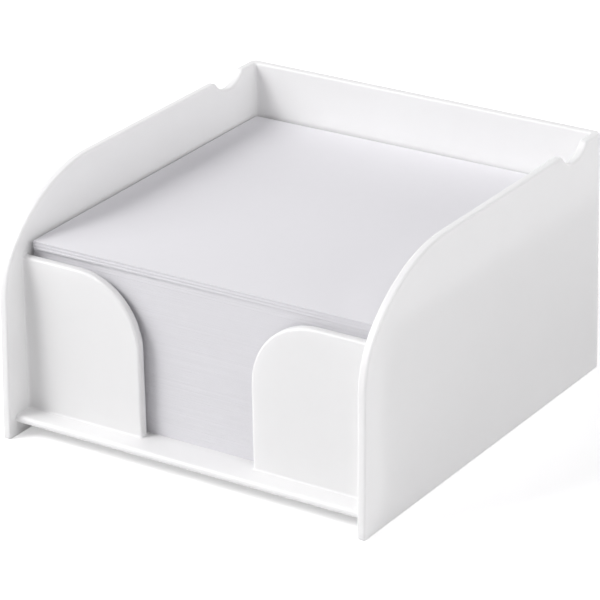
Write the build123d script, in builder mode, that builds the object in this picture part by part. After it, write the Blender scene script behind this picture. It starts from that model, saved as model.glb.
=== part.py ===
from build123d import *
import math
import os

# Memo holder: an open-fronted tray of moulded plastic with a pile of square memo
# sheets in it.  Millimetres, +Z up, the origin in the middle of the tray's footprint
# on the surface that it stands on.  The open front faces -Y.

# Paper: loose square sheets.  Those that lie above the tabs are modelled one by one.
sheet_width = 90.0
sheet_thickness = 0.09
sheet_air = 0.01
loose_sheets = 20
loose_turn_degrees = 0.35
loose_advance = 0.25
sheet_stray = 0.08
sheet_twist_degrees = 0.08
stray_turn_degrees = 50.0
tab_clearance = 0.95

# Room that the tray leaves around the paper
paper_side_gap = 1.1
paper_front_gap = 1.1
paper_back_gap = 0.3

# Tray walls
tray_height = 58.6
side_lean = 0.25
foot_wall = 2.1
rim_wall = 2.1
rim_round = 0.55
foot_round = 0.45
outer_corner_radius = 1.8
inner_corner_radius = 0.6

# Side outline: the front edge, the swept corner and the pen rest
front_lean = 1.4
sweep_start_height = 39.9
sweep_radius = 38.8
sweep_blend_radius = 19.5
pen_rest_radius = 6.6
pen_rest_drop = 3.1
pen_rest_from_back = 13.2
pen_rest_lip_radius = 1.2

# Floor plate with its front lip, and the two front tabs
floor_lift = 3.5
floor_thickness = 1.8
lip_setback = 2.2
lip_round = 0.85
tab_setback = 7.5
tab_thickness = 2.2
tab_height = 37.0
tab_round = 0.6
tab_corner_radius = 16.5
root_radius = 0.5
finger_gap = 29.6

# How far a cutting form runs past what it cuts
overrun = 5.0

tray_width = sheet_width + 2 * (paper_side_gap + foot_wall)
tray_depth = tab_setback + tab_thickness + paper_front_gap + sheet_width + paper_back_gap + rim_wall
front_y = -tray_depth / 2
back_y = tray_depth / 2
inner_back_y = back_y - rim_wall
tab_front_y = front_y + tab_setback
tab_back_y = tab_front_y + tab_thickness
floor_top = floor_lift + floor_thickness
tab_top = floor_top + tab_height

sheet_pitch = sheet_thickness + sheet_air
pile_sheets = math.ceil((tab_height + tab_clearance) / sheet_pitch)
pile_top = floor_top + pile_sheets * sheet_pitch
paper_y = inner_back_y - paper_back_gap - sheet_width / 2


def outer_half_width(height):
    return tray_width / 2 - side_lean * (height / tray_height)


def inner_half_width(height):
    wall = foot_wall + (rim_wall - foot_wall) * (height / tray_height)
    return outer_half_width(height) - wall


def is_rim(edge):
    """Whether an edge of the bare walls runs along their rim or front edge."""
    size = edge.bounding_box().size
    lies_on_foot = edge.center().Z < foot_round
    stands_full_height = size.Z > tray_height - rim_wall
    crosses_wall = size.X < 2 * foot_wall and size.Y + size.Z < foot_round
    return not (lies_on_foot or stands_full_height or crosses_wall)


def is_root(edge):
    """Whether an edge is the inside corner of a tab with the floor or a side wall."""
    size = edge.bounding_box().size
    middle = edge.center()
    on_tab_face = min(abs(middle.Y - tab_front_y), abs(middle.Y - tab_back_y)) < root_radius / 2
    on_floor = abs(middle.Z - floor_top) < root_radius / 2 and size.X > root_radius + tab_round
    on_wall = abs(abs(middle.X) - inner_half_width(middle.Z)) < root_radius / 2
    return on_tab_face and (on_floor or on_wall and size.Z > tab_height / 2)


# Side outline: front edge, swept corner that runs smoothly into the top edge, pen rest
sweep_start = (front_y + front_lean, sweep_start_height)
sweep_rise = sweep_start_height - (tray_height - sweep_radius)
sweep_end = (sweep_start[0] + math.sqrt(sweep_radius**2 - sweep_rise**2), tray_height)
pen_rest_y = back_y - pen_rest_from_back
with BuildSketch(Plane.YZ) as side_outline:
    with BuildLine():
        Line((front_y, 0), sweep_start)
        RadiusArc(sweep_start, sweep_end, sweep_radius)
        Polyline(sweep_end, (back_y, tray_height), (back_y, 0), (front_y, 0))
    make_face()
    with Locations((pen_rest_y, tray_height - pen_rest_drop + pen_rest_radius)):
        Circle(pen_rest_radius, mode=Mode.SUBTRACT)
    top_corners = side_outline.vertices().group_by(Axis.Y)[-1].sort_by(Axis.X)
    fillet(top_corners[-3:-1], pen_rest_lip_radius)
    sweep_corner = side_outline.vertices().sort_by_distance(Vector(*sweep_start))[0]
    fillet(sweep_corner, sweep_blend_radius)

# Floor plate with its rounded front lip, let into the walls on three sides
with BuildPart() as floor:
    with BuildSketch(Plane.YZ) as floor_section:
        with Locations((front_y + lip_setback, floor_lift)):
            Rectangle(
                inner_back_y + rim_wall / 2 - front_y - lip_setback,
                floor_thickness,
                align=(Align.MIN, Align.MIN),
            )
        fillet(floor_section.vertices().group_by(Axis.X)[0], lip_round)
    extrude(amount=inner_half_width(floor_lift) + foot_wall / 2, both=True)

# Tab: a plate with one large rounded corner beside the finger gap, let into the
# floor and one side wall
with BuildPart() as tab:
    with BuildSketch(Plane.XZ.offset(-tab_front_y)) as tab_outline:
        with Locations((finger_gap / 2, floor_top - floor_thickness / 2)):
            Rectangle(
                inner_half_width(tab_top) + rim_wall / 2 - finger_gap / 2,
                tab_height + floor_thickness / 2,
                align=(Align.MIN, Align.MIN),
            )
        gap_corners = tab_outline.vertices().group_by(Axis.X)[0]
        fillet(gap_corners.sort_by(Axis.Y)[-1], tab_corner_radius)
    extrude(amount=-tab_thickness)
    face_edges = tab.edges().filter_by(Axis.Y, reverse=True)
    let_in_edges = face_edges.group_by(Axis.Z)[0] + face_edges.group_by(Axis.X)[-1]
    fillet(face_edges - let_in_edges, tab_round)

# Tray: the outer form, hollowed from the front and cut to the side outline, then
# joined with the floor and the tabs into the one moulding
with BuildPart() as tray:
    for height in (0, tray_height):
        with BuildSketch(Plane.XY.offset(height)) as outline:
            Rectangle(2 * outer_half_width(height), tray_depth)
            fillet(outline.vertices().group_by(Axis.Y)[-1], outer_corner_radius)
    loft(ruled=True)
    for height in (-overrun, tray_height + overrun):
        with BuildSketch(Plane.XY.offset(height)) as hollow:
            with Locations((0, inner_back_y)):
                Rectangle(2 * inner_half_width(height), tray_depth, align=(Align.CENTER, Align.MAX))
            fillet(hollow.vertices().group_by(Axis.Y)[-1], inner_corner_radius)
    loft(ruled=True, mode=Mode.SUBTRACT)
    extrude(side_outline.sketch, amount=tray_width, both=True, mode=Mode.INTERSECT)
    fillet(tray.edges().filter_by(is_rim), rim_round)
    fillet(tray.edges().group_by(Axis.Z)[0], foot_round)
    add(floor.part)
    add(tab.part)
    mirror(tab.part, about=Plane.YZ)
    fillet(tray.edges().filter_by(is_root), root_radius)
tray.part.label = "tray"

# Lower pile: the sheets that the tabs hold back, as one block
with BuildPart() as lower_pile:
    with BuildSketch(Plane.XY.offset(floor_top)):
        with Locations((0, paper_y)):
            Rectangle(sheet_width, sheet_width)
    extrude(amount=pile_sheets * sheet_pitch)
lower_pile.part.label = "lower_pile"

os.makedirs("parts", exist_ok=True)
export_step(tray.part, "parts/tray.step")
export_step(lower_pile.part, "parts/lower_pile.step")

# Loose sheets: together they lie a little forward and turned on the lower pile, and each
# lies on a film of air, a little out of line with the one below it
for index in range(loose_sheets):
    sheet_base = pile_top + index * sheet_pitch + sheet_air
    stray_angle = math.radians(index * stray_turn_degrees)
    stray_x = sheet_stray * math.sin(stray_angle)
    stray_y = sheet_stray * math.cos(stray_angle) - loose_advance
    turn = loose_turn_degrees + sheet_twist_degrees * math.sin(2 * stray_angle)
    with BuildPart() as sheet:
        with BuildSketch(Plane.XY.offset(sheet_base)):
            with Locations((stray_x, paper_y + stray_y)):
                Rectangle(sheet_width, sheet_width, rotation=turn)
        extrude(amount=sheet_thickness)
    sheet.part.label = f"sheet_{index + 1:02d}"
    export_step(sheet.part, f"parts/{sheet.part.label}.step")
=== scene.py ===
import math

import bpy
from mathutils import Matrix, Vector


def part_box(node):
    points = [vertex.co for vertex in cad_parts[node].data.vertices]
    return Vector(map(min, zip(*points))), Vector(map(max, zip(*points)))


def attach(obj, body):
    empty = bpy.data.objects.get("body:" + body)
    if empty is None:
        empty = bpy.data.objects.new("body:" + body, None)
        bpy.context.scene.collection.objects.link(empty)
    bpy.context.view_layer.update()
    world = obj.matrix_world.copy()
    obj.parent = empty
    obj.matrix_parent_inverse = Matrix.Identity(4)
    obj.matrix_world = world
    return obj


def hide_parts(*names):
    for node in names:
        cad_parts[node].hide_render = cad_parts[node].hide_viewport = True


# Memo holder: a glossy white moulded tray with a pile of square memo sheets in it.
# Metres, in the frame's own axes: +Z up, the open front towards -Y.

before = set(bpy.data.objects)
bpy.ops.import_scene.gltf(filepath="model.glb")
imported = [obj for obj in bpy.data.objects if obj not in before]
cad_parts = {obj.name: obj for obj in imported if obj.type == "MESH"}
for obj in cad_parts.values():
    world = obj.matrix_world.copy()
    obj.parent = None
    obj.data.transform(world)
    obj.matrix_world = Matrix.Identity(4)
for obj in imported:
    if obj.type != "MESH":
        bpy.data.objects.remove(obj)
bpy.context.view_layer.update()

MILLIMETRE = 0.001
WHITE = (1.0, 1.0, 1.0)
BLACK = (0.0, 0.0, 0.0)

# Camera: where it stands, the way it looks, and its lens on a 36 mm sensor
CAMERA_PLACE = (0.39560, -0.59639, 0.34181)
CAMERA_AZIMUTH = math.radians(33.65)
CAMERA_ELEVATION = math.radians(23.85)
CAMERA_ROLL = math.radians(-1.13)
CAMERA_LENS = 207.0
CAMERA_SENSOR = 36.0

# Lamps, all aimed at one point: azimuth from the front towards the right, elevation,
# distance, width of the round lamp, power
AIM = Vector((0, 0, 0.03))
LAMPS = {
    "key": (-40, 39, 1.4, 0.6, 12.0),
    "left_fill": (-64, 27, 1.4, 0.6, 5.0),
    "high_fill": (66, 42, 1.4, 0.7, 3.4),
    "right_fill": (97, 18, 0.9, 0.45, 2.0),
    "back_left_fill": (-130, 40, 0.9, 0.45, 0.4),
    "back_fill": (175, 9, 0.9, 0.45, 2.6),
}
WORLD_STRENGTH = 0.2
WORLD_COLOUR = (0.98, 0.95, 1.0)

# Floor: half its width, its colour for the light that it sends back, and its own light
FLOOR_HALF_WIDTH = 3.0
FLOOR_COLOUR = (0.80, 0.80, 0.80)
FLOOR_GLOW = 0.36

# Tray finish: its whites, then the sizes and heights of its flow marks and orange peel
PLASTIC_COLOUR = (0.857, 0.856, 0.856)
PLASTIC_ROUGHNESS = 0.44
PLASTIC_INDEX = 1.5
PLASTIC_TRANSLUCENCY = 0.28
PLASTIC_LIGHT_DEPTH = 5 * MILLIMETRE
PLASTIC_DARKEST = 0.985
PLASTIC_PALEST = 1.012
ROUGHNESS_SPREAD = 0.1
HAZE_SIZE = 9 * MILLIMETRE
FLOW_SIZE = 22 * MILLIMETRE
FLOW_HEIGHT = 0.02 * MILLIMETRE
PEEL_SIZE = 0.9 * MILLIMETRE
PEEL_HEIGHT = 0.0012 * MILLIMETRE

# Paper: its whites, the sizes of its clouds and fibres, and how thick the bands of painted shade across
# the pile's sides are
PAPER_COLOUR = (0.818, 0.812, 0.839)
PAPER_ROUGHNESS = 0.82
PAPER_INDEX = 1.4
PAPER_DARKEST = 0.88
PAPER_PALEST = 1.03
CLOUD_SIZE = 2.5 * MILLIMETRE
FIBRE_SIZE = 0.22 * MILLIMETRE
FIBRE_HEIGHT = 0.012 * MILLIMETRE
PAINTED_SHADE_BAND = 0.9 * MILLIMETRE

# What each kind of mottle takes of the whole: between sheets, bands of sheets (painted shade), clouds,
# fibres
TINT_SHARE = 0.25
PAINTED_SHADE_BAND_SHARE = 0.3
CLOUD_SHARE = 0.25
FIBRE_SHARE = 0.2

# Where the paper's shade lies between its darkest and its palest white: a face without mottle, what the
# mottle and the painted band shade add at most, and what the painted shade on the sheets' sides takes
# away
FACE_SHADE = 0.57
MOTTLE_AND_BAND_SHADE = 0.43
PAINTED_SIDE_SHADE = 0.42

# Pile: sheets that stray at random, and drift slowly from one to the next
SHEET_PITCH = 0.1 * MILLIMETRE
SHEET_THICKNESS = 0.09 * MILLIMETRE
SHEET_STRAY = 0.03 * MILLIMETRE
SHEET_DRIFT = 0.12 * MILLIMETRE
SHEET_DRIFT_RATE = 0.11
SHEET_SEED = 7


class Term:
    """One output of a shader node, with arithmetic that adds Math nodes."""

    def __init__(self, surface, socket):
        self.surface = surface
        self.socket = socket

    def maths(self, operation, first, second):
        return self.surface.node("ShaderNodeMath", {"operation": operation}, {0: first, 1: second})

    def __add__(self, other):
        return self.maths("ADD", self, other)

    def __sub__(self, other):
        return self.maths("SUBTRACT", self, other)

    def __rsub__(self, other):
        return self.maths("SUBTRACT", other, self)

    def __mul__(self, other):
        return self.maths("MULTIPLY", self, other)

    def __truediv__(self, other):
        return self.maths("DIVIDE", self, other)

    __radd__ = __add__


class Surface:
    """A material, and the nodes that vary it over a surface."""

    def __init__(self, name):
        self.material = bpy.data.materials.new(name)
        self.material.use_nodes = True
        self.tree = self.material.node_tree
        self.shader = self.tree.nodes["Principled BSDF"]
        self.place = self.node("ShaderNodeTexCoord", output="Object")

    def join(self, socket, value):
        """Links a term to a socket, or sets the socket's own value."""
        if isinstance(value, Term):
            self.tree.links.new(value.socket, socket)
        else:
            socket.default_value = value

    def node(self, kind, settings=None, values=None, output=0):
        """A node with these settings and input values, and one of its outputs."""
        new = self.tree.nodes.new(kind)
        for name, setting in (settings or {}).items():
            setattr(new, name, setting)
        for name, value in (values or {}).items():
            self.join(new.inputs[name], value)
        return Term(self, new.outputs[output])

    def noise(self, size, detail=2.0, roughness=0.5):
        """Smooth noise whose features are about as large as size, in metres."""
        values = {"Vector": self.place, "Scale": 1 / size, "Detail": detail, "Roughness": roughness}
        return self.node("ShaderNodeTexNoise", values=values)

    def layer_noise(self, height, size):
        """Noise that is the same all over a layer, in layers about as thick as size."""
        values = {"W": height / size, "Scale": 1.0, "Detail": 2.0}
        return self.node("ShaderNodeTexNoise", {"noise_dimensions": "1D"}, values)

    def mix(self, factor, first, second):
        settings = {"data_type": "RGBA"}
        values = {"Factor": factor, 6: (*first, 1.0), 7: (*second, 1.0)}
        return self.node("ShaderNodeMix", settings, values, output=2)

    def bump(self, height, distance, normal=None):
        """Normal bent by height, where a height of 1 stands distance metres proud."""
        values = {"Height": height, "Distance": distance}
        if normal:
            values["Normal"] = normal
        return self.node("ShaderNodeBump", values=values)

    def put(self, **values):
        for name, value in values.items():
            self.join(self.shader.inputs[name.replace("_", " ")], value)


def shade(colour, factor):
    """A colour made darker or paler by one factor."""
    return tuple(channel * factor for channel in colour)


def plastic():
    """Glossy white moulded plastic: faint flow marks, fine orange peel, dull patches."""
    surface = Surface("glossy_white_plastic")
    flow = surface.noise(FLOW_SIZE, detail=1.0)
    peel = surface.noise(PEEL_SIZE, detail=1.5)
    haze = surface.noise(HAZE_SIZE, detail=4.0, roughness=0.6)
    darkest = shade(PLASTIC_COLOUR, PLASTIC_DARKEST)
    palest = shade(PLASTIC_COLOUR, PLASTIC_PALEST)
    surface.put(
        Base_Color=surface.mix(haze, darkest, palest),
        Roughness=PLASTIC_ROUGHNESS - ROUGHNESS_SPREAD / 2 + haze * ROUGHNESS_SPREAD,
        IOR=PLASTIC_INDEX,
        Subsurface_Weight=PLASTIC_TRANSLUCENCY,
        Subsurface_Scale=PLASTIC_LIGHT_DEPTH,
        Subsurface_Radius=(1.0, 1.0, 1.0),
        Normal=surface.bump(peel, PEEL_HEIGHT, surface.bump(flow, FLOW_HEIGHT)),
    )
    return surface.material


def paper():
    """Uncoated white paper: cloudy fibres, a slightly different white on each sheet, bands of painted
    shade across the sheets' sides, and sides painted a little darker than the top faces as painted
    shade between the sheets."""
    surface = Surface("uncoated_paper")
    height = surface.node("ShaderNodeSeparateXYZ", values={"Vector": surface.place}, output="Z")
    sheet = surface.node("ShaderNodeMath", {"operation": "FLOOR"}, {0: height / SHEET_PITCH})
    tint = surface.node("ShaderNodeTexWhiteNoise", {"noise_dimensions": "1D"}, {"W": sheet})
    # Painted shade: bands of sheets lighter and darker at random, standing in for sheets set back in
    # the shade of those above
    painted_band_shade = surface.layer_noise(height, PAINTED_SHADE_BAND)
    cloud = surface.noise(CLOUD_SIZE, detail=3.0)
    fibre = surface.noise(FIBRE_SIZE)
    facing = surface.node("ShaderNodeTexCoord", output="Normal")
    upward = surface.node("ShaderNodeSeparateXYZ", values={"Vector": facing}, output="Z")
    # Painted shade: faces that turn sideways, the sheets' sides, are painted darker than the top faces
    painted_side_shade = 1 - upward * upward
    mottle_and_band_shade = tint * TINT_SHARE + painted_band_shade * PAINTED_SHADE_BAND_SHARE + cloud * CLOUD_SHARE + fibre * FIBRE_SHARE
    white = FACE_SHADE + mottle_and_band_shade * MOTTLE_AND_BAND_SHADE - painted_side_shade * PAINTED_SIDE_SHADE
    darkest = shade(PAPER_COLOUR, PAPER_DARKEST)
    palest = shade(PAPER_COLOUR, PAPER_PALEST)
    surface.put(
        Base_Color=surface.mix(white, darkest, palest),
        Roughness=PAPER_ROUGHNESS,
        IOR=PAPER_INDEX,
        Normal=surface.bump(fibre, FIBRE_HEIGHT),
    )
    return surface.material


def floor_finish():
    """Pale floor that the camera sees as white, and that keeps the object's shadow."""
    surface = Surface("pale_floor")
    seen = surface.node("ShaderNodeLightPath", output="Is Camera Ray")
    for ray in ("Is Glossy Ray", "Is Transmission Ray"):
        other = surface.node("ShaderNodeLightPath", output=ray)
        seen = surface.node("ShaderNodeMath", {"operation": "MAXIMUM"}, {0: seen, 1: other})
    surface.put(
        Base_Color=surface.mix(seen, FLOOR_COLOUR, WHITE),
        Roughness=1.0,
        Specular_IOR_Level=0.0,
        Emission_Color=surface.mix(seen, BLACK, WHITE),
        Emission_Strength=FLOOR_GLOW,
    )
    return surface.material


def put_material(piece, material):
    piece.data.materials.clear()
    piece.data.materials.append(material)


def add_object(name, mesh):
    piece = bpy.data.objects.new(name, mesh)
    bpy.context.scene.collection.objects.link(piece)
    return piece


class Geometry:
    """A Geometry Nodes tree with named inputs, and the calls that build it."""

    def __init__(self, name):
        self.tree = bpy.data.node_groups.new(name, "GeometryNodeTree")
        self.tree.interface.new_socket("Geometry", in_out="OUTPUT", socket_type="NodeSocketGeometry")
        self.inputs = self.tree.nodes.new("NodeGroupInput")
        self.identifiers = {}

    def input(self, name, kind):
        socket = self.tree.interface.new_socket(name, in_out="INPUT", socket_type=f"NodeSocket{kind}")
        self.identifiers[name] = socket.identifier
        return self.inputs.outputs[name]

    def node(self, kind, settings=None, values=None, output=0):
        new = self.tree.nodes.new(kind)
        for name, setting in (settings or {}).items():
            setattr(new, name, setting)
        for name, value in (values or {}).items():
            if isinstance(value, bpy.types.NodeSocket):
                self.tree.links.new(value, new.inputs[name])
            else:
                new.inputs[name].default_value = value
        return new.outputs[output]

    def finish(self, geometry):
        output = self.tree.nodes.new("NodeGroupOutput")
        self.tree.links.new(geometry, output.inputs["Geometry"])

    def grow(self, name, values):
        """A plain mesh piece grown by the tree from these input values."""
        seed_mesh = bpy.data.meshes.new(name + "_seed")
        holder = add_object(name + "_seed", seed_mesh)
        modifier = holder.modifiers.new("grow", "NODES")
        modifier.node_group = self.tree
        for key, value in values.items():
            modifier[self.identifiers[key]] = value
        evaluated = holder.evaluated_get(bpy.context.evaluated_depsgraph_get())
        mesh = bpy.data.meshes.new_from_object(evaluated)
        bpy.data.objects.remove(holder)
        mesh.name = name
        return add_object(name, mesh)


def sheet_stack_tree():
    """Square sheets piled face to face, each a little out of line with the next."""
    tree = Geometry("sheet_stack")
    sheets = tree.input("Sheets", "Int")
    width = tree.input("Sheet Width", "Float")
    thickness = tree.input("Sheet Thickness", "Float")
    pitch = tree.input("Sheet Pitch", "Float")
    middle = tree.input("Lowest Sheet Middle", "Vector")
    stray = tree.input("Stray", "Float")
    drift = tree.input("Drift", "Float")
    drift_rate = tree.input("Drift Rate", "Float")
    seed = tree.input("Seed", "Int")
    material = tree.input("Material", "Material")
    climb = tree.node("ShaderNodeCombineXYZ", values={"Z": pitch})
    line = tree.node(
        "GeometryNodeMeshLine",
        {"mode": "OFFSET"},
        {"Count": sheets, "Start Location": middle, "Offset": climb},
    )
    random_shift = tree.node(
        "FunctionNodeRandomValue",
        {"data_type": "FLOAT_VECTOR"},
        {"Min": (-1.0, -1.0, 0.0), "Max": (1.0, 1.0, 0.0), "Seed": seed},
    )
    jitter = tree.node(
        "ShaderNodeVectorMath", {"operation": "SCALE"}, {0: random_shift, "Scale": stray}
    )
    index = tree.node("GeometryNodeInputIndex")
    along = tree.node("ShaderNodeMath", {"operation": "MULTIPLY"}, {0: index, 1: drift_rate})
    wander = tree.node(
        "ShaderNodeTexNoise", {"noise_dimensions": "1D"}, {"W": along, "Scale": 1.0, "Detail": 2.0}, 1
    )
    centred = tree.node(
        "ShaderNodeVectorMath", {"operation": "SUBTRACT"}, {0: wander, 1: (0.5, 0.5, 0.5)}
    )
    flat = tree.node(
        "ShaderNodeVectorMath", {"operation": "MULTIPLY"}, {0: centred, 1: (1.0, 1.0, 0.0)}
    )
    slow = tree.node("ShaderNodeVectorMath", {"operation": "SCALE"}, {0: flat, "Scale": drift})
    shift = tree.node("ShaderNodeVectorMath", {"operation": "ADD"}, {0: jitter, 1: slow})
    places = tree.node("GeometryNodeSetPosition", values={"Geometry": line, "Offset": shift})
    size = tree.node("ShaderNodeCombineXYZ", values={"X": width, "Y": width, "Z": thickness})
    sheet = tree.node("GeometryNodeMeshCube", values={"Size": size})
    copies = tree.node("GeometryNodeInstanceOnPoints", values={"Points": places, "Instance": sheet})
    real = tree.node("GeometryNodeRealizeInstances", values={"Geometry": copies})
    finished = tree.node("GeometryNodeSetMaterial", values={"Geometry": real, "Material": material})
    tree.finish(finished)
    return tree


def add_lower_pile(material):
    """The sheets of the lower pile, one by one, in the room of its block."""
    low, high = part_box("lower_pile")
    width = high.x - low.x
    values = {
        "Sheets": round((high.z - low.z) / SHEET_PITCH),
        "Sheet Width": width,
        "Sheet Thickness": SHEET_THICKNESS,
        "Sheet Pitch": SHEET_PITCH,
        "Lowest Sheet Middle": (*((low + high) / 2).xy, low.z + SHEET_PITCH / 2),
        "Stray": SHEET_STRAY,
        "Drift": SHEET_DRIFT,
        "Drift Rate": SHEET_DRIFT_RATE,
        "Seed": SHEET_SEED,
        "Material": material,
    }
    pile = sheet_stack_tree().grow("lower_sheets", values)
    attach(pile, "pile")
    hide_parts("lower_pile")


def finish_loose_sheets(material):
    for name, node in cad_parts.items():
        if name.startswith("sheet_"):
            put_material(node, material)


def add_camera():
    camera = bpy.data.objects.new("camera", bpy.data.cameras.new("camera"))
    bpy.context.scene.collection.objects.link(camera)
    camera.data.lens = CAMERA_LENS
    camera.data.sensor_width = CAMERA_SENSOR
    level = math.cos(CAMERA_ELEVATION)
    forward = Vector((
        -level * math.sin(CAMERA_AZIMUTH),
        level * math.cos(CAMERA_AZIMUTH),
        -math.sin(CAMERA_ELEVATION),
    ))
    turn = forward.to_track_quat("-Z", "Y").to_matrix().to_4x4()
    camera.matrix_world = Matrix.Translation(CAMERA_PLACE) @ turn @ Matrix.Rotation(CAMERA_ROLL, 4, "Z")
    bpy.context.scene.camera = camera


def add_lamps():
    """Round soft lamps, each facing the point that all of them aim at."""
    for name, (azimuth, elevation, distance, width, power) in LAMPS.items():
        around = math.radians(azimuth)
        up = math.radians(elevation)
        away = Vector((
            math.cos(up) * math.sin(around),
            -math.cos(up) * math.cos(around),
            math.sin(up),
        ))
        lamp = bpy.data.objects.new(name, bpy.data.lights.new(name, "AREA"))
        bpy.context.scene.collection.objects.link(lamp)
        lamp.data.shape = "DISK"
        lamp.data.size = width
        lamp.data.energy = power
        turn = (-away).to_track_quat("-Z", "Y").to_matrix().to_4x4()
        lamp.matrix_world = Matrix.Translation(AIM + away * distance) @ turn


def add_world():
    """Even light from all around, which the camera and reflections see as white."""
    world = bpy.data.worlds.new("studio")
    world.use_nodes = True
    tree = world.node_tree
    light = tree.nodes["Background"]
    light.inputs["Color"].default_value = (*WORLD_COLOUR, 1.0)
    light.inputs["Strength"].default_value = WORLD_STRENGTH
    seen = tree.nodes.new("ShaderNodeBackground")
    seen.inputs["Color"].default_value = (*WHITE, 1.0)
    seen.inputs["Strength"].default_value = 1.0
    path = tree.nodes.new("ShaderNodeLightPath")
    choose = tree.nodes.new("ShaderNodeMixShader")
    seen_ray = path.outputs["Is Camera Ray"]
    for ray in ("Is Glossy Ray", "Is Transmission Ray"):
        larger = tree.nodes.new("ShaderNodeMath")
        larger.operation = "MAXIMUM"
        tree.links.new(seen_ray, larger.inputs[0])
        tree.links.new(path.outputs[ray], larger.inputs[1])
        seen_ray = larger.outputs[0]
    tree.links.new(seen_ray, choose.inputs["Fac"])
    tree.links.new(light.outputs["Background"], choose.inputs[1])
    tree.links.new(seen.outputs["Background"], choose.inputs[2])
    tree.links.new(choose.outputs["Shader"], tree.nodes["World Output"].inputs["Surface"])
    bpy.context.scene.world = world


def add_floor():
    half = FLOOR_HALF_WIDTH
    mesh = bpy.data.meshes.new("floor")
    corners = [(-half, -half, 0), (half, -half, 0), (half, half, 0), (-half, half, 0)]
    mesh.from_pydata(corners, [], [(0, 1, 2, 3)])
    floor = add_object("floor", mesh)
    put_material(floor, floor_finish())


bpy.context.scene.view_settings.view_transform = "Standard"
add_camera()
add_lamps()
add_world()
add_floor()

paper_finish = paper()
put_material(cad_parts["tray"], plastic())
add_lower_pile(paper_finish)
finish_loose_sheets(paper_finish)
